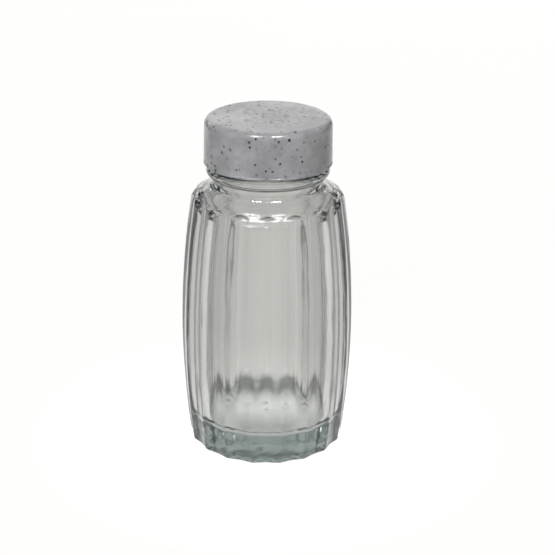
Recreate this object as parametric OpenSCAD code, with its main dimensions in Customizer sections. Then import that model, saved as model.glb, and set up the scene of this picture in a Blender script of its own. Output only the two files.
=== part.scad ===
// Spice shaker: a fluted glass jar closed by a screw cap with sprinkle holes.
// The jar stands on Z = 0 with its axis on +Z. Sizes are in millimetres.

/* [Jar body] */
// Diameter over the ridges at the widest point
jar_d = 55.2; // [52:0.2:68]
// Height of the widest point above the base
belly_z = 38; // [30:1:46]
// Radius of the barrel's side curve
barrel_r = 300; // [220:10:500]
// Height of the corner where the shoulder meets the neck
shoulder_z = 87.2; // [68:0.2:96]
// Fall of the shoulder from the neck outwards, in degrees
shoulder_fall = 30; // [20:1:40]
// Rounding between the shoulder and the barrel
shoulder_r = 2.6; // [1:0.1:4]
// Rounding of the heel, where the barrel meets the base
heel_r = 0.8; // [0.4:0.1:1.5]

/* [Glass] */
// Thickness of the wall, measured from the ridges
wall_t = 3.2; // [2.6:0.1:4.5]
// Thickness of the solid base at the inside floor
base_t = 8.5; // [4:0.1:14]
// Rounding of the inside corner at the floor
floor_r = 4; // [2:0.5:6]
// Rounding of the cavity under the shoulder
inner_shoulder_r = 5; // [2:0.5:6]
// Diameter of the hollow under the base
kick_d = 40; // [30:0.5:42]
// Depth of the hollow under the base
kick_h = 0.8; // [0.3:0.1:2]

/* [Flutes] */
// Number of flutes round the barrel
flute_n = 18; // [12:1:24]
// Depth of a flute below the straight line between its two ridges
flute_scoop = 0.65; // [0.3:0.05:0.9]
// Width of the ridge left between two flutes at the widest point
ridge_w = 0.6; // [0.3:0.1:1.2]

/* [Neck] */
// Outside diameter of the neck without its thread
neck_d = 35; // [29:0.5:42]
// Height of the neck from the shoulder corner to the rim
neck_h = 18.6; // [14:0.2:26]
// Thickness of the neck's wall
neck_wall = 2.6; // [2:0.1:3.5]
// Rounding in the corners where the neck meets the shoulder
neck_r = 1.6; // [0.5:0.1:2.5]
// Rounding of the rim's edges
rim_r = 0.8; // [0.3:0.1:0.9]
// Height of the bead's middle above the shoulder corner
bead_rise = 4.4; // [3:0.1:5]
// Radius of the bead's rounded section
bead_r = 1.6; // [0.8:0.1:1.8]
// How far the bead stands out from the neck
bead_out = 1.95; // [1:0.05:2.2]

/* [Cap] */
// Thickness of the cap's side wall at its lower edge
cap_wall = 1.3; // [1.2:0.1:2.5]
// Thickness of the cap's top
cap_top_t = 1.8; // [1.2:0.1:3]
// Rounding of the cap's top edge
cap_edge_r = 2.4; // [1:0.1:2.6]
// Slope of the cap's side, in degrees
cap_draft = 1; // [0:0.1:1.5]
// Gap between the bead and the cap's lower edge
cap_gap = 0.8; // [0.5:0.1:2]
// Depth of the screw thread that the cap leaves room for
thread_h = 1.15; // [0.8:0.05:1.4]
// Clearance round the thread
thread_gap = 0.25; // [0.2:0.05:0.6]
// Width of the bevel inside the cap's lower edge
mouth_bevel = 0.6; // [0.2:0.1:1]

/* [Sprinkle holes] */
// Diameter of a sprinkle hole
hole_d = 3.8; // [1.5:0.1:4.5]
// Diameter of the circle that the outer holes lie on
hole_circle_d = 14; // [12:0.5:20]
// Number of holes on the circle, round the middle one
hole_n = 5; // [3:1:7]
// Turn of the circle of holes, in degrees
hole_turn = 2; // [0:1:72]

/* [Sealing ring] */
// Thickness of the sealing ring
seal_t = 1; // [0.6:0.1:2]
// Clearance between the ring and the cap's wall
seal_gap = 0.3; // [0.1:0.05:0.4]
// How far the ring's hole clears the jar's mouth all round
seal_inset = 0.3; // [0.1:0.1:0.8]
// How far the lip that holds the ring stands in from the cap's wall
lip_in = 0.95; // [0.7:0.05:1.1]
// Radius of the lip's rounded section
lip_r = 0.7; // [0.5:0.1:1]
// Gap between the lip and the ring
lip_gap = 0.2; // [0.1:0.05:0.5]

/* [Hidden] */

facets = 120;
curve_facets = 1440;
overcut = 1;
// Rounded corners reach this far past the lines they touch, so that they cross them cleanly
lap = 0.002;

jar_r = jar_d / 2;
neck_out = neck_d / 2;
mouth_r = neck_out - neck_wall;
inner_round_r = min(inner_shoulder_r, 0.55 * (jar_r - neck_out));
rim_z = shoulder_z + neck_h;
bead_z = shoulder_z + bead_rise;

// Middle of the circle that draws the barrel's side
barrel_mid = [jar_r - barrel_r, belly_z];

// Directions along the shoulder, outwards, and square to it, upwards
shoulder_along = [cos(shoulder_fall), -sin(shoulder_fall)];
shoulder_up = [sin(shoulder_fall), cos(shoulder_fall)];

// A flute is an arc through two ridge edges, flute_scoop below their chord
flute_half = 180 / flute_n - ridge_w / jar_d * 180 / PI;
flute_half_w = jar_r * sin(flute_half);
flute_depth = jar_r * (1 - cos(flute_half)) + flute_scoop;
flute_r = (flute_half_w * flute_half_w + flute_scoop * flute_scoop) / (2 * flute_scoop);
flute_up = asin((shoulder_z - belly_z) / barrel_r);
flute_down = asin((belly_z + overcut) / (barrel_r - flute_depth));

// The hollow under the base is part of a ball
kick_r = kick_d / 2;
kick_ball_r = (kick_r * kick_r + kick_h * kick_h) / (2 * kick_h);

seal_z = rim_z;
cap_under_z = seal_z + seal_t;
cap_top_z = cap_under_z + cap_top_t;
cap_low_z = bead_z + bead_r + cap_gap;
cap_bore_r = neck_out + thread_h + thread_gap;
cap_r = cap_bore_r + cap_wall;
cap_edge_z = cap_top_z - cap_edge_r;
cap_edge_x = cap_r - (cap_edge_r + (cap_edge_z - cap_low_z) * sin(cap_draft)) / cos(cap_draft);
seal_out = cap_bore_r - seal_gap;
seal_in = mouth_r + seal_inset;
lip_z = seal_z - lip_gap - lip_r;

// Height of the shoulder's line at radius x, moved into the glass by inset
function shoulder_line(x, inset) =
    shoulder_z - inset / cos(shoulder_fall) + (neck_out - x) * tan(shoulder_fall);

// Middle of a circle of radius r that touches the barrel curve and a floor at height z
function corner_mid(inset, r, z) =
    let (rise = z + r - belly_z, reach = barrel_r - inset - r + lap)
    [barrel_mid.x + sqrt(reach * reach - rise * rise), z + r];

// Middle of a circle of radius r that touches the barrel curve and the shoulder's line
function shoulder_mid(inset, r) =
    let (
        start = [neck_out, shoulder_z] - (inset + r) * shoulder_up - barrel_mid,
        reach = barrel_r - inset - r + lap,
        along = start * shoulder_along
    )
    barrel_mid + start
        + (sqrt(along * along - start * start + reach * reach) - along) * shoulder_along;

// Point where a circle with its middle at m touches the barrel curve
function barrel_touch(m, inset) = barrel_mid + (barrel_r - inset) * (m - barrel_mid) / norm(m - barrel_mid);

// Half section of the jar's body, from a floor at height z up to radius x on the shoulder
module body_section(inset, z, x, corner_r, round_r) {
    low = corner_mid(inset, corner_r, z);
    high = shoulder_mid(inset, round_r);
    low_z = barrel_touch(low, inset).y;
    high_z = barrel_touch(high, inset).y;
    intersection() {
        translate(barrel_mid) circle(r = barrel_r - inset, $fn = curve_facets);
        translate([0, low_z]) square([jar_r, high_z - low_z]);
    }
    translate([0, z]) square([low.x, belly_z - z]);
    translate(low) circle(r = corner_r, $fn = facets);
    translate(high) circle(r = round_r, $fn = facets);
    polygon([
        [0, belly_z],
        [high.x, belly_z],
        high + (round_r - lap) * shoulder_up,
        [x, shoulder_line(x, inset)],
        [0, shoulder_line(x, inset)]
    ]);
}

// Rounded fill in the corner between an upright wall at radius x and the shoulder's line
module corner_fill(x, inset) {
    corner = [x, shoulder_line(x, inset)];
    mid = corner + neck_r * [1, (1 - sin(shoulder_fall)) / cos(shoulder_fall)];
    deep = mid - (neck_r + overcut) * shoulder_up;
    difference() {
        polygon([[x - overcut, deep.y], deep, mid, [x - overcut, mid.y]]);
        translate(mid) circle(r = neck_r, $fn = facets);
    }
}

// Outside of the jar without its rim
module jar_outside() {
    body_section(0, 0, neck_out, heel_r, shoulder_r);
    corner_fill(neck_out, 0);
    translate([0, belly_z]) square([neck_out, rim_z - rim_r - belly_z]);
    translate([neck_out + bead_out - bead_r, bead_z]) circle(r = bead_r, $fn = facets);
}

// Hollow inside the jar, open at the mouth
module jar_inside() {
    body_section(wall_t, base_t, mouth_r, floor_r, inner_round_r);
    corner_fill(mouth_r, wall_t);
    translate([0, belly_z]) square([mouth_r, rim_z - belly_z + overcut]);
}

// Rounded rim that the sealing ring rests on
module rim_section() {
    low = rim_z - rim_r;
    translate([mouth_r + rim_r, low]) circle(r = rim_r, $fn = facets);
    translate([neck_out - rim_r, low]) circle(r = rim_r, $fn = facets);
    translate([mouth_r + rim_r, low - rim_r]) square([neck_wall - 2 * rim_r, 2 * rim_r]);
}

// Cutter for one flute, bent along the barrel curve
module flute() {
    translate([barrel_mid.x, 0, belly_z])
        rotate([90, 0, 0])
            rotate([0, 0, -flute_down])
                rotate_extrude(angle = flute_up + flute_down, $fn = curve_facets)
                    translate([barrel_r - flute_depth + flute_r, 0])
                        circle(r = flute_r, $fn = facets);
}

// Fluted glass jar with a thick base, a bead and a neck
module glass_jar() {
    color([0.84, 0.88, 0.86, 0.4])
        difference() {
            rotate_extrude($fn = facets) {
                difference() {
                    jar_outside();
                    jar_inside();
                    translate([0, kick_h - kick_ball_r]) circle(r = kick_ball_r, $fn = curve_facets);
                }
                rim_section();
            }
            for (i = [0 : flute_n - 1])
                rotate([0, 0, i * 360 / flute_n - 90])
                    flute();
        }
}

// Soft flat ring between the glass rim and the cap's top
module sealing_ring() {
    color("whitesmoke")
        translate([0, 0, seal_z])
            difference() {
                cylinder(r = seal_out, h = seal_t, $fn = facets);
                translate([0, 0, -overcut])
                    cylinder(r = seal_in, h = seal_t + 2 * overcut, $fn = facets);
            }
}

// Half section of the cap's outside
module cap_outside() {
    edge = [cap_edge_x, cap_edge_z];
    translate(edge) circle(r = cap_edge_r, $fn = facets);
    polygon([
        [0, cap_low_z],
        [cap_r, cap_low_z],
        edge + cap_edge_r * [cos(cap_draft), sin(cap_draft)],
        [cap_edge_x, cap_top_z],
        [0, cap_top_z]
    ]);
}

// Half section of the cap's inside, with a bevelled mouth
module cap_inside() {
    polygon([
        [0, cap_low_z - overcut],
        [cap_bore_r + mouth_bevel + overcut, cap_low_z - overcut],
        [cap_bore_r, cap_low_z + mouth_bevel],
        [cap_bore_r, cap_under_z],
        [0, cap_under_z]
    ]);
}

// One sprinkle hole through the cap's top
module sprinkle_hole() {
    translate([0, 0, cap_under_z - overcut])
        cylinder(d = hole_d, h = cap_top_t + 2 * overcut, $fn = facets);
}

// Screw cap with sprinkle holes and a lip that keeps the sealing ring in place
module shaker_cap() {
    color([0.8, 0.81, 0.83])
        difference() {
            rotate_extrude($fn = facets) {
                difference() {
                    cap_outside();
                    cap_inside();
                }
                translate([cap_bore_r - lip_in + lip_r, lip_z]) circle(r = lip_r, $fn = facets);
            }
            sprinkle_hole();
            for (i = [0 : hole_n - 1])
                rotate([0, 0, hole_turn + i * 360 / hole_n])
                    translate([hole_circle_d / 2, 0, 0])
                        sprinkle_hole();
        }
}

glass_jar();
sealing_ring();
shaker_cap();
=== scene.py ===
import math

import bpy
import numpy as np
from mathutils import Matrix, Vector
from mathutils.geometry import delaunay_2d_cdt


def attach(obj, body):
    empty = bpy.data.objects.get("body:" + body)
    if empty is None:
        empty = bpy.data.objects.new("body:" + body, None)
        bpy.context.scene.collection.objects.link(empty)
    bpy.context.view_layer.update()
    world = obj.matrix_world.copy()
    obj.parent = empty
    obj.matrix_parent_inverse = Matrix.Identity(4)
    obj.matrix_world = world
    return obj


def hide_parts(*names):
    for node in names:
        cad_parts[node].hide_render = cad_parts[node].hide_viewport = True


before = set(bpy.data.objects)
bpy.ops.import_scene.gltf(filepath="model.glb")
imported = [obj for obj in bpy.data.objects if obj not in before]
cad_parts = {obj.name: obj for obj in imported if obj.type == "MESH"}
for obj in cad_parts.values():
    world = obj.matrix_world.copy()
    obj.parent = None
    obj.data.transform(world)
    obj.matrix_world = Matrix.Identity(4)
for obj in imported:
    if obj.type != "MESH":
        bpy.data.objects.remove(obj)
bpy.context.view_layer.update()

MM = 0.001
TINY = 0.01
FULL_TURN = 2 * math.pi

# Sizes of the jar in millimetres, and the directions of its shoulder's slope in degrees
JAR_R = 27.6
BELLY_Z = 38.0
BARREL_R = 300.0
BARREL_X = JAR_R - BARREL_R
SHOULDER_Z = 87.2
SHOULDER_FALL = math.radians(30)
SLOPE_UP = 60
SLOPE_DOWN = 240
SHOULDER_R = 2.6
HEEL_R = 0.8
WALL_T = 3.2
BASE_T = 8.5
FLOOR_R = 4.0
INNER_SHOULDER_R = 5.0
KICK_R = 20.0
KICK_H = 0.8
NECK_R = 17.5
NECK_WALL = 2.6
NECK_FILL_R = 1.6
NECK_SWEEP_R = 3.0
RIM_Z = 105.8
RIM_R = 0.8
CAVITY_TOP_Z = RIM_Z - 2
BEAD_Z = 91.6
BEAD_R = 1.6
BEAD_X = 17.85
BEAD_FILL_R = 0.5

# Flutes: how deep they are, how round their ridges are, and where they start and end
FLUTE_N = 18
FLUTE_DEPTH_LOW = 0.75
FLUTE_DEPTH_HIGH = 1.05
FLUTE_START_R = (20.5, 24.3)
FLUTE_END_Z = SHOULDER_Z + 2
RIDGE_SOFT = 0.2
RIDGE_SOFT_MORE = 0.3
RIDGE_SOFT_Z = (6, 40)
ARCH_SOFT = 0.3
ARCH_Z = (74, 81)

# Unevenness of the pressed glass: height, lobes round the jar, phase and climb of each wave
WAVES_IN = (
    (0.05, 2, 0.7, 31),
    (0.035, 5, 1.9, -17),
    (0.03, 3, 0, 6.3),
    (0.04, 11, 1.1, 40),
    (0.025, 19, 0, -23),
)
WAVES_OUT = ((0.012, 7, 0, 9), (0.012, -4, 0, 5.1))
WAVE_START_Z = (9, 20)
WAVE_END_Z = (70, 80)
DIMPLE_H = 0.05
DIMPLE_RING_H = 0.03
DIMPLE_START_Z = (0.9, 1.8)
DIMPLE_END_Z = (7, 10)

# Floor of the cavity: shallow dips, and a low ring round its middle
DIP_H = 0.05
DIP_START_R = (0, 3)
DIP_RING_H = 0.06
DIP_FADE_R = (13, 17)
FLOOR_RING_H = 0.12
FLOOR_RING_R = 2.6
FLOOR_RING_W = 0.5

# Flow marks under the base: weight, pitch and phase of each, then its sway, sway length and sway phase
FLOW_MARKS = ((1.0, 2.1, 0, 0.9, 2.5, 0), (0.8, 3.4, 1.3, 1.1, 1.9, 1), (0.7, 1.1, -0.7, 0.8, 3.3, 0))
FLOW_H = 0.022
FLOW_FADE_R = (7, 11)

# Short ribs round the ring that the jar stands on
RIB_N = 36
RIB_H = 0.3
RIB_START_R = (18.5, 20.5)
RIB_END_R = (23.4, 24.6)

# Sizes of the cap and its ring in millimetres
CAP_R = 20.2
CAP_LOW_Z = 94.0
CAP_LOW_R = 0.2
CAP_UNDER_Z = 106.8
CAP_UNDER_R = 0.5
CAP_TOP_Z = 108.6
CAP_EDGE_R = 2.4
CAP_EDGE_X = 17.587
CAP_DRAFT = 1.0
CAP_BORE_R = 18.9
MOUTH_BEVEL = 0.6
LIP_X = 18.65
LIP_Z = 104.9
LIP_R = 0.7
LIP_HALF_H = 0.66
HOLE_R = 1.9
HOLE_TOP_R = 0.4
HOLE_LOW_R = 0.15
HOLE_CIRCLE_R = 7.0
HOLE_N = 5
HOLE_TURN = math.radians(2)
SEAL_IN = 15.2
SEAL_OUT = 18.6
SEAL_T = 1.0
SEAL_GAP = 0.03
SEAL_EDGE_R = 0.2

# Screw thread between the neck and the cap: half widths are at the foot and at the crest
LEAD = 4.233
THREAD_Z = 95.6
THREAD_TURNS = 1.5
THREAD_RUN_OUT = 0.06
NECK_THREAD_H = 1.1
NECK_THREAD_HALF = (1.1, 0.4)
CAP_THREAD_H = 1.1
CAP_THREAD_HALF = (0.95, 0.3)
CAP_THREAD_Z = THREAD_Z + LEAD / 2 - 0.6

# The jar's runs of profile points
UNDER, OUTER, INNER = 0, 1, 2


def arc(mid, r, start, end, count):
    """Points of an arc between two angles in degrees, both ends included."""
    turn = np.radians(np.linspace(start, end, count))
    return [(mid[0] + r * math.cos(a), mid[1] + r * math.sin(a)) for a in turn]


def line(start, end, count):
    """Evenly spaced points of a straight line, both ends included."""
    return [tuple(p) for p in np.linspace(start, end, count)]


def joined(*runs):
    """One profile from several runs of points, without doubled ends."""
    out = []
    for p in (p for run in runs for p in run):
        if not out or math.dist(out[-1], p) > 1e-5:
            out.append(p)
    return np.array(out)


def barrel(z, inset=0.0):
    """Radius of the barrel's side curve at height z, moved into the glass by inset."""
    return BARREL_X + np.sqrt((BARREL_R - inset) ** 2 - (z - BELLY_Z) ** 2)


def smooth_min(a, b, k):
    """The smaller of a and b, with a rounded change from one to the other."""
    h = np.clip(0.5 + 0.5 * (b - a) / k, 0, 1)
    return b * (1 - h) + a * h - k * h * (1 - h)


def smooth_step(x, low, high):
    """0 below low, 1 above high, and a soft slope between them."""
    t = np.clip((x - low) / (high - low), 0, 1)
    return t * t * (3 - 2 * t)


def add_mesh(name, points, faces, material):
    """A mesh object from points in millimetres."""
    mesh = bpy.data.meshes.new(name)
    mesh.from_pydata([tuple(p) for p in np.asarray(points, float) * MM], [], faces)
    mesh.validate()
    mesh.polygons.foreach_set("use_smooth", [True] * len(mesh.polygons))
    mesh.materials.append(material)
    obj = bpy.data.objects.new(name, mesh)
    bpy.context.scene.collection.objects.link(obj)
    return obj


def add_marks(obj, name, values):
    """A value for each vertex, which the material reads by its name."""
    marks = obj.data.attributes.new(name, "FLOAT", "POINT")
    marks.data.foreach_set("value", np.asarray(values, np.float32))


def ring_faces(low, high, count):
    """Quads between two closed rings of vertices that start at indices low and high."""
    return [
        (low + i, low + (i + 1) % count, high + (i + 1) % count, high + i)
        for i in range(count)
    ]


def fan_faces(pole, ring, count, up):
    """Triangles between one vertex and the closed ring round it."""
    faces = [(pole, ring + i, ring + (i + 1) % count) for i in range(count)]
    return faces if up else [f[::-1] for f in faces]


def thread_height(theta, z, start_z, half):
    """Share of the thread's full height, from 0 to 1, at an angle and height on a right-hand helix."""
    foot, crest = half
    out = np.zeros(np.broadcast(theta, z).shape)
    for turn in range(math.ceil(THREAD_TURNS)):
        run = theta / FULL_TURN + turn
        off = np.abs(z - start_z - run * LEAD)
        starts = smooth_step(run, 0, THREAD_RUN_OUT)
        ends = 1 - smooth_step(run, THREAD_TURNS - THREAD_RUN_OUT, THREAD_TURNS)
        out = np.maximum(out, (1 - smooth_step(off, crest, foot)) * starts * ends)
    return out


def waves(rows, theta, z):
    """Sum of shallow waves that run round the jar and climb it."""
    return sum(height * np.sin(lobes * theta + phase + z / climb) for height, lobes, phase, climb in rows)


# Profile of the jar

def shoulder_mid(inset, r):
    """Middle of the circle that touches the barrel and the shoulder's slope."""
    along = np.array([math.cos(SHOULDER_FALL), -math.sin(SHOULDER_FALL)])
    up = np.array([math.sin(SHOULDER_FALL), math.cos(SHOULDER_FALL)])
    start = np.array([NECK_R, SHOULDER_Z]) - (inset + r) * up - [BARREL_X, BELLY_Z]
    reach = BARREL_R - inset - r
    share = start @ along
    return start + [BARREL_X, BELLY_Z] + (math.sqrt(share**2 - start @ start + reach**2) - share) * along


def barrel_angle(mid):
    """Angle in degrees at which a circle with this middle touches the barrel."""
    return math.degrees(math.atan2(mid[1] - BELLY_Z, mid[0] - BARREL_X))


def corner_mid(inset, r, z):
    """Middle of the circle that touches the barrel and a floor at height z."""
    rise = z + r - BELLY_Z
    return np.array([BARREL_X + math.sqrt((BARREL_R - inset - r) ** 2 - rise**2), z + r])


def fill_mid(x, inset, r):
    """Middle of the rounded corner between an upright wall at radius x and the slope."""
    z = SHOULDER_Z - inset / math.cos(SHOULDER_FALL) + (NECK_R - x) * math.tan(SHOULDER_FALL)
    lift = (1 - math.sin(SHOULDER_FALL)) / math.cos(SHOULDER_FALL)
    return np.array([x + r, z + r * lift])


def jar_outside():
    """Profile from the rim of the hollow under the base up to the rim of the mouth."""
    heel = corner_mid(0, HEEL_R, 0)
    high = shoulder_mid(0, SHOULDER_R)
    heel_end = arc(heel, HEEL_R, -90, barrel_angle(heel), 9)
    high_arc = arc(high, SHOULDER_R, barrel_angle(high), SLOPE_UP, 22)
    base_z = 12
    side_z = np.append(
        np.linspace(heel_end[-1][1], base_z, 24)[:-1],
        np.linspace(base_z, high_arc[0][1], 54),
    )
    fill = arc(fill_mid(NECK_R, 0, NECK_SWEEP_R), NECK_SWEEP_R, SLOPE_DOWN, 180, 12)
    reach = BEAD_R + BEAD_FILL_R
    out = BEAD_X - NECK_R - BEAD_FILL_R
    drop = math.sqrt(reach**2 - out**2)
    lean = math.degrees(math.asin(out / reach))
    foot_x = NECK_R + BEAD_FILL_R
    return joined(
        line((KICK_R, 0), heel_end[0], 14),
        heel_end,
        [(barrel(z), z) for z in side_z],
        high_arc,
        line(high_arc[-1], fill[0], 16),
        fill,
        arc((foot_x, BEAD_Z - drop), BEAD_FILL_R, 180, 90 - lean, 6),
        arc((BEAD_X, BEAD_Z), BEAD_R, -90 - lean, 90 + lean, 19),
        arc((foot_x, BEAD_Z + drop), BEAD_FILL_R, -90 + lean, -180, 6),
        line((NECK_R, BEAD_Z + drop), (NECK_R, RIM_Z - RIM_R), 46),
        arc((NECK_R - RIM_R, RIM_Z - RIM_R), RIM_R, 0, 90, 7),
        arc((NECK_R - NECK_WALL + RIM_R, RIM_Z - RIM_R), RIM_R, 90, 180, 7),
    )


def jar_inside():
    """Profile from the mouth down to the floor of the cavity."""
    mouth = NECK_R - NECK_WALL
    high = shoulder_mid(WALL_T, INNER_SHOULDER_R)
    floor = corner_mid(WALL_T, FLOOR_R, BASE_T)
    fill = arc(fill_mid(mouth, WALL_T, NECK_FILL_R), NECK_FILL_R, 180, SLOPE_DOWN, 8)
    high_arc = arc(high, INNER_SHOULDER_R, SLOPE_UP, barrel_angle(high), 16)
    floor_arc = arc(floor, FLOOR_R, barrel_angle(floor), -90, 14)
    side_z = np.linspace(high_arc[-1][1], floor_arc[0][1], 46)
    fine_r, middle_r = 5.0, 0.6
    return joined(
        line((mouth, RIM_Z - RIM_R), fill[0], 10),
        fill,
        line(fill[-1], high_arc[0], 6),
        high_arc,
        [(barrel(z, WALL_T), z) for z in side_z],
        floor_arc,
        line(floor_arc[-1], (fine_r, BASE_T), 14),
        line((fine_r, BASE_T), (middle_r, BASE_T), 20),
    )


def jar_underside():
    """Profile of the hollow under the base."""
    middle_r = 0.4
    r = np.linspace(middle_r, KICK_R - middle_r, 50)
    z = KICK_H * (1 - (r / KICK_R) ** 2)
    return np.stack([r, z], 1)


def flute_shape(step, soft):
    """Share of a flute's depth at an angle from its middle line: 0 on the ridges, 1 in the middle."""
    away = 1 - np.abs(step) / (math.pi / FLUTE_N)
    away = (np.sqrt(away**2 + soft**2) - soft) / (np.sqrt(1 + soft**2) - soft)
    return 1 - (1 - away) ** 2


def flute_angles():
    """Angles round the jar, closer together at the ridges between the flutes."""
    t = np.linspace(-1, 1, 25)[:-1]
    crowd = 0.3
    step = math.pi / FLUTE_N * t * (1 + crowd - crowd * t * t)
    middles = FULL_TURN * np.arange(FLUTE_N) / FLUTE_N - math.pi / 2
    return (middles[:, None] + step[None, :]).ravel(), np.tile(step, FLUTE_N)


def jar_radius(part, r0, z0, theta, step):
    """Radius of the jar's surface, with its flutes, thread and uneven glass."""
    # The flutes: shallow at the base, deeper towards their arched ends under the shoulder
    plain = r0 + 0 * theta
    side = barrel(np.minimum(z0, SHOULDER_Z))
    depth = FLUTE_DEPTH_LOW + (FLUTE_DEPTH_HIGH - FLUTE_DEPTH_LOW) * smooth_step(z0, 0, SHOULDER_Z)
    cut = depth * flute_shape(step, RIDGE_SOFT + RIDGE_SOFT_MORE * smooth_step(z0, *RIDGE_SOFT_Z))
    low = (part == OUTER) & (z0 < BELLY_Z)
    high = (part == OUTER) & (z0 >= BELLY_Z) & (z0 < FLUTE_END_Z)
    arch = smooth_step(z0, *ARCH_Z)
    arched = (side - cut) * (1 - arch) + smooth_min(plain, side - cut, ARCH_SOFT) * arch
    r = np.where(low, r0 - cut * smooth_step(r0, *FLUTE_START_R), plain)
    r = np.where(high, arched, r)

    # The screw thread on the neck
    neck = (part == OUTER) & (r0 < NECK_R + TINY) & (z0 > BEAD_Z)
    thread = thread_height(np.mod(theta, FULL_TURN), z0, THREAD_Z, NECK_THREAD_HALF)
    r = r + np.where(neck, NECK_THREAD_H * thread, 0)

    # Slight unevenness of pressed glass, stronger on the inside
    wavy = smooth_step(z0, *WAVE_START_Z) * (1 - smooth_step(z0, *WAVE_END_Z))
    r = r + np.where(part == INNER, waves(WAVES_IN, theta, z0) * wavy, 0)
    r = r + np.where(part == OUTER, waves(WAVES_OUT, theta, z0) * wavy, 0)

    # Dimples round the side of the thick base
    dimpled = smooth_step(z0, *DIMPLE_START_Z) * (1 - smooth_step(z0, *DIMPLE_END_Z))
    across = np.sin(29 * theta + 1.2 * np.sin(z0 / 1.3))
    along = np.sin(z0 / 0.75 + 2 * np.sin(7 * theta))
    ring = np.sin(z0 / 0.9 + 1.5 * np.sin(11 * theta + 0.6) + 1.2)
    dimple = DIMPLE_H * across * along + DIMPLE_RING_H * ring
    return r + np.where(part == OUTER, dimple * dimpled, 0)


def jar_height(part, r0, z0, theta):
    """Height of the jar's surface, with the cavity's uneven floor and the marks under the base."""
    # Shallow dips in the floor of the cavity, with a low ring round its middle
    floor = (part == INNER) & (z0 < BASE_T + TINY)
    dip = DIP_H * np.sin(3 * theta + r0 / 4) * smooth_step(r0, *DIP_START_R)
    dip = dip + DIP_RING_H * np.sin(r0 / 3.1 + 0.6)
    dip = dip + FLOOR_RING_H * np.exp(-(((r0 - FLOOR_RING_R) / FLOOR_RING_W) ** 2))
    z = z0 + np.where(floor, dip, 0) * (1 - smooth_step(r0, *DIP_FADE_R))

    # Faint flow marks from front to back in the hollow under the base
    x0, y0 = r0 * np.cos(theta), r0 * np.sin(theta)
    flow = sum(
        weight * np.sin(pitch * x0 + phase + sway * np.sin(y0 / length + start))
        for weight, pitch, phase, sway, length, start in FLOW_MARKS
    )
    z = z + np.where(part == UNDER, FLOW_H * flow * (1 - smooth_step(r0, *FLOW_FADE_R)), 0)

    # Short ribs round the ring that the jar stands on
    foot = (part != INNER) & (z0 < KICK_H) & (r0 < RIB_END_R[1])
    rib = 0.5 - 0.5 * np.cos(RIB_N * theta)
    fade = smooth_step(r0, *RIB_START_R) * (1 - smooth_step(r0, *RIB_END_R))
    return z + np.where(foot, RIB_H * rib * fade, 0)


def build_jar(material):
    """The fluted glass jar as one closed surface."""
    theta, step = flute_angles()
    count = len(theta)
    runs = jar_underside(), jar_outside(), jar_inside()
    profile = np.concatenate(runs)
    rows = len(profile)
    part = np.repeat([UNDER, OUTER, INNER], [len(run) for run in runs])[:, None]
    r0, z0 = profile[:, 0:1], profile[:, 1:2]
    theta, step = theta[None, :], step[None, :]
    r = jar_radius(part, r0, z0, theta, step)
    z = jar_height(part, r0, z0, theta)

    points = np.stack([r * np.cos(theta), r * np.sin(theta), z], -1).reshape(-1, 3)
    faces = [f for i in range(rows - 1) for f in ring_faces(i * count, (i + 1) * count, count)]
    points = np.concatenate([points, [[0, 0, KICK_H], [0, 0, z[-1].mean()]]])
    faces += fan_faces(rows * count, 0, count, False)
    faces += fan_faces(rows * count + 1, (rows - 1) * count, count, True)
    jar = add_mesh("jar_glass", points, faces, material)
    cavity = (part == INNER) & (z0 < CAVITY_TOP_Z)
    add_marks(jar, "inside", np.append(np.repeat(cavity, count), [0, 1]))
    return jar


# Cap and sealing ring

def lathe(profile, count):
    """Points and quads of a profile turned round the axis, one closed ring for each point."""
    theta = FULL_TURN * np.arange(count) / count
    r, z = profile[:, 0:1], profile[:, 1:2]
    points = np.stack([r * np.cos(theta), r * np.sin(theta), z + 0 * theta], -1)
    faces = [f for i in range(len(profile) - 1) for f in ring_faces(i * count, (i + 1) * count, count)]
    return points, faces


def plate_faces(points, loops, up):
    """Triangles of a flat plate between its outer loop and the loops of its holes."""
    index = [i for loop in loops for i in loop]
    flat = [Vector(points[i][:2]) for i in index]
    edges, start = [], 0
    for loop in loops:
        n = len(loop)
        edges += [(start + i, start + (i + 1) % n) for i in range(n)]
        start += n
    outer = loops[0]
    found = delaunay_2d_cdt(flat, edges, [list(range(len(outer)))], 1, 1e-9)
    back = [index[ids[0]] for ids in found[3]]
    faces = []
    holes = [np.mean([points[i][:2] for i in loop], 0) for loop in loops[1:]]
    reach = [math.dist(points[loop[0]][:2], mid) for loop, mid in zip(loops[1:], holes)]
    for face in found[2]:
        ids = [back[i] for i in face]
        mid = np.mean([points[i][:2] for i in ids], 0)
        if any(math.dist(mid, h) < w * 0.97 for h, w in zip(holes, reach)):
            continue
        a, b, c = (np.array(points[i][:2]) for i in ids[:3])
        turn = (b[0] - a[0]) * (c[1] - a[1]) - (b[1] - a[1]) * (c[0] - a[0])
        faces.append(tuple(ids) if (turn > 0) == up else tuple(ids[::-1]))
    return faces


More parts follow.
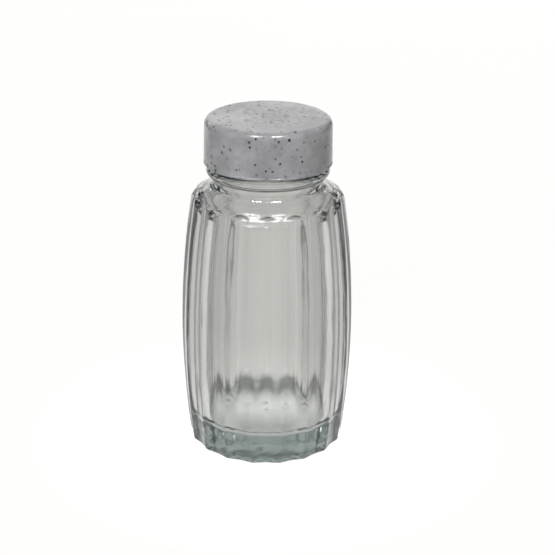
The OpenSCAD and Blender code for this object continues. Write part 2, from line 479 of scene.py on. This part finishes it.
def build_cap(material):
    """The screw cap: turned wall, inside thread and lip, and a top with soft-edged holes."""
    count = 192
    lean = math.radians(CAP_DRAFT)
    edge = (CAP_EDGE_X, CAP_TOP_Z - CAP_EDGE_R)
    foot = (CAP_R - CAP_LOW_R, CAP_LOW_Z + CAP_LOW_R)
    under = CAP_UNDER_Z - CAP_UNDER_R
    outside = joined(
        arc((CAP_BORE_R - CAP_UNDER_R, under), CAP_UNDER_R, 90, 0, 6),
        line((CAP_BORE_R, under), (CAP_BORE_R, LIP_Z + LIP_HALF_H), 3),
        arc((LIP_X, LIP_Z), LIP_R, 70, 290, 15),
        line((CAP_BORE_R, LIP_Z - LIP_HALF_H), (CAP_BORE_R, CAP_LOW_Z + MOUTH_BEVEL), 40),
        line((CAP_BORE_R, CAP_LOW_Z + MOUTH_BEVEL), (CAP_BORE_R + MOUTH_BEVEL, CAP_LOW_Z), 3),
        arc(foot, CAP_LOW_R, -90, CAP_DRAFT, 7),
        line(
            (foot[0] + CAP_LOW_R * math.cos(lean), foot[1]),
            (edge[0] + CAP_EDGE_R * math.cos(lean), edge[1] + CAP_EDGE_R * math.sin(lean)),
            12,
        ),
        arc(edge, CAP_EDGE_R, CAP_DRAFT, 90, 14),
    )
    points, faces = lathe(outside, count)
    theta = FULL_TURN * np.arange(count) / count
    bore = (np.abs(outside[:, 0] - CAP_BORE_R) < TINY) & (outside[:, 1] < LIP_Z - 0.6)
    for row in np.flatnonzero(bore):
        share = thread_height(theta, outside[row, 1], CAP_THREAD_Z, CAP_THREAD_HALF)
        r = outside[row, 0] - CAP_THREAD_H * share
        points[row, :, 0], points[row, :, 1] = r * np.cos(theta), r * np.sin(theta)
    points = list(points.reshape(-1, 3))
    last = (len(outside) - 1) * count

    holes = [(0.0, 0.0)]
    for i in range(HOLE_N):
        a = HOLE_TURN + FULL_TURN * i / HOLE_N
        holes.append((HOLE_CIRCLE_R * math.cos(a), HOLE_CIRCLE_R * math.sin(a)))
    around = 40
    wall = joined(
        arc((HOLE_R + HOLE_TOP_R, CAP_TOP_Z - HOLE_TOP_R), HOLE_TOP_R, 90, 180, 7),
        arc((HOLE_R + HOLE_LOW_R, CAP_UNDER_Z + HOLE_LOW_R), HOLE_LOW_R, 180, 270, 4),
    )
    top_loops, low_loops = [list(range(last, last + count))], [list(range(count))]
    for x, y in holes:
        hole_points, hole_faces = lathe(wall, around)
        start = len(points)
        points += [p + (x, y, 0) for p in hole_points.reshape(-1, 3)]
        faces += [tuple(start + i for i in f) for f in hole_faces]
        top_loops.append(list(range(start, start + around)))
        low_loops.append(list(range(start + (len(wall) - 1) * around, start + len(wall) * around)))
    faces += plate_faces(points, top_loops, True)
    faces += plate_faces(points, low_loops, False)
    cap = add_mesh("cap_shell", points, faces, material)
    # Marks the deep walls of the holes for the material's painted light
    deep = np.repeat(np.arange(len(wall)) > 3, around)
    add_marks(cap, "hole", np.append(np.zeros(len(outside) * count), np.tile(deep, len(holes))))
    return cap


def build_seal(material):
    """The soft ring between the rim and the cap's top."""
    low, high = RIM_Z + SEAL_GAP + SEAL_EDGE_R, RIM_Z + SEAL_T - SEAL_GAP - SEAL_EDGE_R
    near, far = SEAL_IN + SEAL_EDGE_R, SEAL_OUT - SEAL_EDGE_R
    corners = (far, low), (far, high), (near, high), (near, low)
    profile = joined(*(
        arc(corner, SEAL_EDGE_R, 90 * i - 90, 90 * i, 5) for i, corner in enumerate(corners)
    ))
    count = 128
    points, faces = lathe(profile, count)
    faces += ring_faces((len(profile) - 1) * count, 0, count)
    return add_mesh("seal_ring", points.reshape(-1, 3), faces, material)


# Materials

class Nodes:
    """Short calls for the nodes of one shader tree."""

    def __init__(self, tree, place):
        self.tree = tree
        self.place = self.add("ShaderNodeTexCoord").outputs[place]

    def add(self, kind, **settings):
        node = self.tree.nodes.new(kind)
        for key, value in settings.items():
            setattr(node, key, value)
        return node

    def link(self, source, target):
        self.tree.links.new(source, target)

    def split(self, vector):
        """The X, Y and Z of a vector."""
        node = self.add("ShaderNodeSeparateXYZ")
        self.link(vector, node.inputs["Vector"])
        return node.outputs

    def noise(self, scale, detail=2.0, rough=0.5, stretch=None):
        node = self.add("ShaderNodeTexNoise")
        node.inputs["Scale"].default_value = scale
        node.inputs["Detail"].default_value = detail
        node.inputs["Roughness"].default_value = rough
        place = self.place
        if stretch:
            fit = self.add("ShaderNodeMapping")
            fit.inputs["Scale"].default_value = stretch
            self.link(place, fit.inputs["Vector"])
            place = fit.outputs["Vector"]
        self.link(place, node.inputs["Vector"])
        return node.outputs["Fac"]

    def ramp(self, source, *stops):
        """Colours, or plain levels, blended along a value."""
        node = self.add("ShaderNodeValToRGB")
        while len(node.color_ramp.elements) < len(stops):
            node.color_ramp.elements.new(0.5)
        for element, (at, colour) in zip(node.color_ramp.elements, stops):
            element.position = at
            element.color = (*colour, 1) if isinstance(colour, tuple) else (colour, colour, colour, 1)
        self.link(source, node.inputs["Fac"])
        return node.outputs["Color"]

    def span(self, source, low, high, to_low, to_high, kind="SMOOTHSTEP"):
        """A value taken from one range to another."""
        node = self.add("ShaderNodeMapRange", interpolation_type=kind)
        keys = "From Min", "From Max", "To Min", "To Max"
        for key, value in zip(keys, (low, high, to_low, to_high)):
            node.inputs[key].default_value = value
        self.link(source, node.inputs["Value"])
        return node.outputs["Result"]

    def math(self, operation, *values):
        node = self.add("ShaderNodeMath", operation=operation)
        for socket, value in zip(node.inputs, values):
            if isinstance(value, (int, float)):
                socket.default_value = value
            else:
                self.link(value, socket)
        return node.outputs["Value"]

    def blend(self, share, a, b, kind="MIX"):
        """Colour a where share is 0 and b, or both added, where it is 1."""
        node = self.add("ShaderNodeMix", data_type="RGBA", blend_type=kind)
        self.link(share, node.inputs[0])
        for socket, value in ((node.inputs[6], a), (node.inputs[7], b)):
            if isinstance(value, tuple):
                socket.default_value = (*value, 1)
            else:
                self.link(value, socket)
        return node.outputs[2]


class MaterialNodes(Nodes):
    """Short calls for the nodes of one new material."""

    def __init__(self, name):
        self.material = bpy.data.materials.new(name)
        self.material.use_nodes = True
        super().__init__(self.material.node_tree, "Object")
        self.shader = self.tree.nodes["Principled BSDF"]
        self.output = self.tree.nodes["Material Output"]

    def set(self, **values):
        for key, value in values.items():
            self.shader.inputs[key.replace("_", " ")].default_value = value

    def colour(self, source):
        self.link(source, self.shader.inputs["Base Color"])

    def bump(self, height, strength, distance):
        node = self.add("ShaderNodeBump")
        node.inputs["Strength"].default_value = strength
        node.inputs["Distance"].default_value = distance
        self.link(height, node.inputs["Height"])
        self.link(node.outputs["Normal"], self.shader.inputs["Normal"])
        return node

    def marks(self, name):
        """A mesh's own value by its name."""
        return self.add("ShaderNodeAttribute", attribute_name=name).outputs["Fac"]

    def mix_in(self, share, other):
        """Lets another shader take a share of the surface."""
        node = self.add("ShaderNodeMixShader")
        self.link(share, node.inputs["Fac"])
        self.link(self.shader.outputs["BSDF"], node.inputs[1])
        self.link(other, node.inputs[2])
        self.link(node.outputs["Shader"], self.output.inputs["Surface"])

    def specks(self, scale, radius, soft, share):
        """Mask of round specks: Voronoi cells whose middle holds a grain, for a share of the cells."""
        node = self.add("ShaderNodeTexVoronoi")
        node.inputs["Scale"].default_value = scale
        self.link(self.place, node.inputs["Vector"])
        pick = self.add("ShaderNodeSeparateColor")
        self.link(node.outputs["Color"], pick.inputs["Color"])
        size = self.span(pick.outputs["Green"], 0, 1, 0.55 * radius, 1.3 * radius, "LINEAR")
        inside = self.math("SUBTRACT", size, node.outputs["Distance"])
        mask = self.span(inside, -soft, soft, 0, 1)
        kept = self.math("LESS_THAN", pick.outputs["Red"], share)
        deep = self.span(pick.outputs["Blue"], 0, 1, 0.35, 1, "LINEAR")
        return self.math("MULTIPLY", self.math("MULTIPLY", mask, kept), deep)


# Clear glass: its greys, a painted shade on its upright wall seen edge-on and the heights where that shade
# stops, the tint of its depth, and the finish of its outside and inside
GLASS_DULL = (0.725, 0.716, 0.703)
GLASS_CLEAR = (0.778, 0.769, 0.755)
GLASS_PAINTED_EDGE_SHADE = (0.47, 0.467, 0.459)
GLASS_EDGE_SHADE_TOP = (0.083, 0.088)
GLASS_DEPTH = (0.24, 0.38, 0.36, 1)
GLASS_DEPTH_DENSITY = 30
GLASS_SHADOW = (0.93, 0.935, 0.93, 1)
GLASS_ROUGHNESS = (0.07, 0.12)
GLASS_BUMP = (0.05, 0.45)


def glass_material():
    """Clear pressed glass with a faint grey-green tint that deepens in the thick base."""
    n = MaterialNodes("clear_glass")
    n.set(IOR=1.5, Transmission_Weight=1.0)

    # Faint upright streaks, and a painted shade, a deeper grey, where the jar's upright wall below the
    # shoulder is seen edge-on
    body = n.ramp(n.noise(130, 2, 0.5, (1, 1, 0.04)), (0.3, GLASS_DULL), (0.7, GLASS_CLEAR))
    painted_edge_shade = n.span(n.add("ShaderNodeLayerWeight").outputs["Facing"], 0.12, 0.45, 0, 1)
    slope = n.math("ABSOLUTE", n.split(n.add("ShaderNodeNewGeometry").outputs["Normal"])["Z"])
    upright = n.span(slope, 0.3, 0.7, 1, 0)
    upright = n.math("MULTIPLY", upright, n.span(n.split(n.place)["Z"], *GLASS_EDGE_SHADE_TOP, 1, 0))
    n.colour(n.blend(n.math("MULTIPLY", painted_edge_shade, upright), body, GLASS_PAINTED_EDGE_SHADE))

    # The inside is duller and more wavy than the outside
    inside = n.marks("inside")
    n.link(n.span(inside, 0, 1, *GLASS_ROUGHNESS, "LINEAR"), n.shader.inputs["Roughness"])
    wavy = n.bump(n.noise(150, 3, 0.55, (1, 1, 0.2)), GLASS_BUMP[0], 0.0005)
    n.link(n.span(inside, 0, 1, *GLASS_BUMP, "LINEAR"), wavy.inputs["Strength"])

    # Tint of the glass's depth, and a light shadow
    tint = n.add("ShaderNodeVolumeAbsorption")
    tint.inputs["Color"].default_value = GLASS_DEPTH
    tint.inputs["Density"].default_value = GLASS_DEPTH_DENSITY
    n.link(tint.outputs["Volume"], n.output.inputs["Volume"])
    clear = n.add("ShaderNodeBsdfTransparent")
    clear.inputs["Color"].default_value = GLASS_SHADOW
    n.mix_in(n.add("ShaderNodeLightPath").outputs["Is Shadow Ray"], clear.outputs["BSDF"])
    return n.material


# Grains in the cap's plastic: scale, size, softness, share of cells, strength and colour
GRAINS = (
    (400, 0.2, 0.2, 0.85, 0.42, (0.16, 0.16, 0.18)),
    (560, 0.24, 0.12, 0.5, 0.4, (0.14, 0.14, 0.16)),
    (430, 0.19, 0.05, 0.95, 0.97, (0.012, 0.012, 0.018)),
)
PLASTIC_DARK = (0.38, 0.38, 0.395)
PLASTIC_PALE = (0.585, 0.585, 0.6)
# Paler colour painted on the deep walls of the cap's holes: painted light where the holes are in shade
HOLE_PAINTED_LIGHT = (0.95, 0.95, 0.93)


def plastic_material():
    """Glossy light grey moulding with dark grains and fainter ones under its surface."""
    n = MaterialNodes("speckled_plastic")
    n.set(Roughness=0.17, IOR=1.38)
    n.set(Subsurface_Weight=0.3, Subsurface_Scale=0.0015, Subsurface_Radius=(1, 1, 1))
    base = n.ramp(n.noise(70, 5, 0.65), (0.38, PLASTIC_DARK), (0.62, PLASTIC_PALE))
    for scale, radius, soft, share, strength, colour in GRAINS:
        grains = n.specks(scale, radius, soft, share)
        base = n.blend(n.math("MULTIPLY", grains, strength), base, colour)
    # Painted light: the deep walls of the holes are painted paler, so that they show as pale as the top
    # though they lie in shade
    n.colour(n.blend(n.math("MULTIPLY", n.marks("hole"), 0.55), base, HOLE_PAINTED_LIGHT))
    n.bump(n.noise(420, 2, 0.5), 0.06, 0.0004)
    return n.material


def seal_material():
    """Matt off-white soft ring with a fine dusty grain."""
    n = MaterialNodes("soft_seal")
    n.set(Roughness=0.7)
    grain = n.noise(900, 3, 0.6)
    n.colour(n.ramp(grain, (0.3, (0.74, 0.74, 0.70)), (0.7, (0.84, 0.84, 0.81))))
    n.bump(grain, 0.15, 0.0003)
    return n.material


# The floor's glow: its level, its share of the surface, and the reach of the painted shadows and painted
# pool of light near the jar in metres
GLOW_COLOUR = (1.0, 0.995, 0.985, 1)
GLOW_LEVEL = 1.35
GLOW_FAR_LEVEL = 0.35
GLOW_SHARE = 0.88
SHADE_REACH = 0.1


def floor_material():
    """Plain pale studio surface that shows nearly white and keeps the shadow, with painted shadows and a
    painted pool of light near the jar.
    """
    n = MaterialNodes("studio_floor")
    n.set(Roughness=0.85, Specular_IOR_Level=0.1)
    n.colour(n.ramp(n.noise(9, 3, 0.5), (0.3, 0.30), (0.7, 0.34)))
    path = n.add("ShaderNodeLightPath").outputs
    seen = n.math("MAXIMUM", path["Is Camera Ray"], path["Is Glossy Ray"])
    seen = n.math("MAXIMUM", seen, path["Is Transmission Ray"])
    x, y, _ = n.split(n.place)
    aside = n.math("ABSOLUTE", x)

    # Painted shadows and a painted pool of light close to the jar, which its base and cavity show: the
    # glow is brightest near the jar, with painted contact shadows under the back and front of the foot,
    # and painted shade in front and painted light behind under the jar
    away = n.add("ShaderNodeVectorMath", operation="LENGTH")
    n.link(n.place, away.inputs[0])
    from_axis = n.span(away.outputs["Value"], 0, SHADE_REACH, 0, 1, "LINEAR")
    # Painted pool of light: the glow is brightest under and round the jar
    near = n.ramp(from_axis, (0.12, 1.0), (0.3, 0.9), (0.45, 0.97), (0.8, 0.815))
    # Painted contact shadows under the back and the front of the foot ring
    back = n.ramp(from_axis, (0.165, 0.0), (0.2, 0.85), (0.245, 0.85), (0.27, 0.45), (0.32, 0.0))
    back = n.math("MULTIPLY", back, n.span(y, 0.008, 0.018, 0, 1))
    back = n.math("MULTIPLY", back, n.span(aside, 0.008, 0.015, 1, 0))
    painted_front_shadow = n.ramp(from_axis, (0.14, 0.0), (0.175, 0.55), (0.215, 0.55), (0.25, 0.0))
    painted_front_shadow = n.math("MULTIPLY", painted_front_shadow, n.span(y, -0.018, -0.008, 1, 0))
    # Painted shade under the front of the jar and painted light under its back
    middle = n.ramp(from_axis, (0.1, 1.0), (0.17, 0.0))
    middle = n.math("MULTIPLY", middle, n.span(y, -0.01, 0.01, 0.45, -0.45))
    painted_shade_and_light = n.math("ADD", middle, n.math("MAXIMUM", back, painted_front_shadow))
    near = n.math("MULTIPLY", near, n.math("SUBTRACT", 1, painted_shade_and_light))

    # Far out to the sides the floor is dimmer in the glass, but not in the background
    far = n.span(aside, 0.5, 1.2, GLOW_LEVEL, GLOW_FAR_LEVEL)
    far = n.math("MAXIMUM", far, n.math("MULTIPLY", path["Is Camera Ray"], GLOW_LEVEL))
    glow = n.add("ShaderNodeEmission")
    glow.inputs["Color"].default_value = GLOW_COLOUR
    n.link(n.math("MULTIPLY", near, far), glow.inputs["Strength"])
    n.mix_in(n.math("MULTIPLY", seen, GLOW_SHARE), glow.outputs["Emission"])
    return n.material


# The object

jar = build_jar(glass_material())
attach(jar, "jar")
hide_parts("glass_jar")

seal = build_seal(seal_material())
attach(seal, "seal")
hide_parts("sealing_ring")

cap = build_cap(plastic_material())
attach(cap, "cap")
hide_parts("shaker_cap")

# Floor and backdrop, with places in millimetres

FLOOR_HALF = 4000
FLOOR_Z = -0.05
BACKDROP_HALF = 600
BACKDROP_Y = 1300
BACKDROP_Z = (-1, 800)
ONE_QUAD = [(0, 1, 2, 3)]
CORNERS = (-1, -1), (1, -1), (1, 1), (-1, 1)

pale = floor_material()
floor_points = [(x * FLOOR_HALF, y * FLOOR_HALF, FLOOR_Z) for x, y in CORNERS]
floor = add_mesh("studio_floor", floor_points, ONE_QUAD, pale)
backdrop_points = [(x * BACKDROP_HALF, BACKDROP_Y, BACKDROP_Z[z > 0]) for x, z in CORNERS]
backdrop = add_mesh("studio_backdrop", backdrop_points, ONE_QUAD, pale)

# Lamps: name, place, height aimed at, width and height, power, and the rays that don't see it
LAMPS = (
    ("lamp_left", (-330, -70, 1200), 60, (190, 260), 1.0, ("glossy",)),
    ("lamp_right", (285, -70, 1200), 60, (190, 260), 0.4, ("glossy",)),
    ("lamp_front", (-230, -1150, 900), 60, (700, 400), 10, ("glossy",)),
    ("lamp_back", (250, 1150, 500), 60, (700, 400), 6.5, ("glossy", "transmission")),
    ("glint_left", (-290, -420, 1080), 60, (240, 150), 10, ("diffuse", "transmission")),
    ("glint_right", (215, -420, 1080), 60, (240, 150), 10, ("diffuse", "transmission")),
    ("spark_left", (-700, 1050, 540), 20, (110, 70), 0.12, ("diffuse",)),
    ("spark_right", (660, 1050, 600), 20, (110, 70), 0.12, ("diffuse",)),
)


def add_lamp(name, place, aim_z, size, power, hidden):
    """A soft rectangular lamp that faces the jar's axis, with places in millimetres."""
    data = bpy.data.lights.new(name, "AREA")
    data.shape = "RECTANGLE"
    data.size, data.size_y = size[0] * MM, size[1] * MM
    data.energy = power
    lamp = bpy.data.objects.new(name, data)
    lamp.location = Vector(place) * MM
    lamp.rotation_euler = (Vector((0, 0, aim_z)) - Vector(place)).to_track_quat("-Z", "Y").to_euler()
    for rays in hidden:
        setattr(lamp, "visible_" + rays, False)
    bpy.context.scene.collection.objects.link(lamp)


for lamp_row in LAMPS:
    add_lamp(*lamp_row)

# The world: a dim dome, and a paler band of sky that shows in the glass and the gloss
DOME_AIM = (-0.2, -0.2, 0.96)
DOME_LOW = (0.02, 0.02, 0.0202)
DOME_HIGH = (0.12, 0.12, 0.1212)


def light_world():
    """Dim studio surroundings, white where the camera sees them."""
    world = bpy.data.worlds.new("studio")
    bpy.context.scene.world = world
    world.use_nodes = True
    n = Nodes(world.node_tree, "Generated")
    way = n.add("ShaderNodeVectorMath", operation="DOT_PRODUCT")
    way.inputs[1].default_value = DOME_AIM
    n.link(n.place, way.inputs[0])
    dome = n.ramp(way.outputs["Value"], (0.15, DOME_LOW), (0.55, DOME_HIGH))
    height = n.split(n.place)["Z"]
    band = n.ramp(height, (0.35, 0.0), (0.4, 0.5), (0.55, 0.5), (0.62, 1.0), (0.78, 0.0))
    path = n.add("ShaderNodeLightPath").outputs
    sky = n.blend(n.math("SUBTRACT", 1, path["Is Diffuse Ray"]), dome, band, "ADD")
    sky = n.blend(path["Is Camera Ray"], sky, (1.0, 1.0, 1.0))
    n.link(sky, n.tree.nodes["Background"].inputs["Color"])


light_world()

# The camera stands where the photograph was taken, with places in millimetres and lengths in pixels
CAMERA_PLACE = (0, -440, 236)
CAMERA_AIM = (0, 0, 54.6)
CAMERA_ROLL = math.radians(0.45)
PHOTO_WIDTH = 555
FOCAL_LENGTH = 1472
SHIFT_X = 10.3
SENSOR_WIDTH = 36

camera_data = bpy.data.cameras.new("camera")
camera_data.sensor_width = SENSOR_WIDTH
camera_data.lens = FOCAL_LENGTH / PHOTO_WIDTH * SENSOR_WIDTH
camera_data.shift_x = SHIFT_X / PHOTO_WIDTH
camera_data.clip_end = 50
camera = bpy.data.objects.new("camera", camera_data)
camera.location = Vector(CAMERA_PLACE) * MM
aim = Vector(CAMERA_AIM) * MM - camera.location
camera.rotation_euler = aim.to_track_quat("-Z", "Y").to_euler()
camera.rotation_euler.rotate_axis("Z", CAMERA_ROLL)
bpy.context.scene.collection.objects.link(camera)
bpy.context.scene.camera = camera
bpy.context.scene.view_settings.view_transform = "Standard"
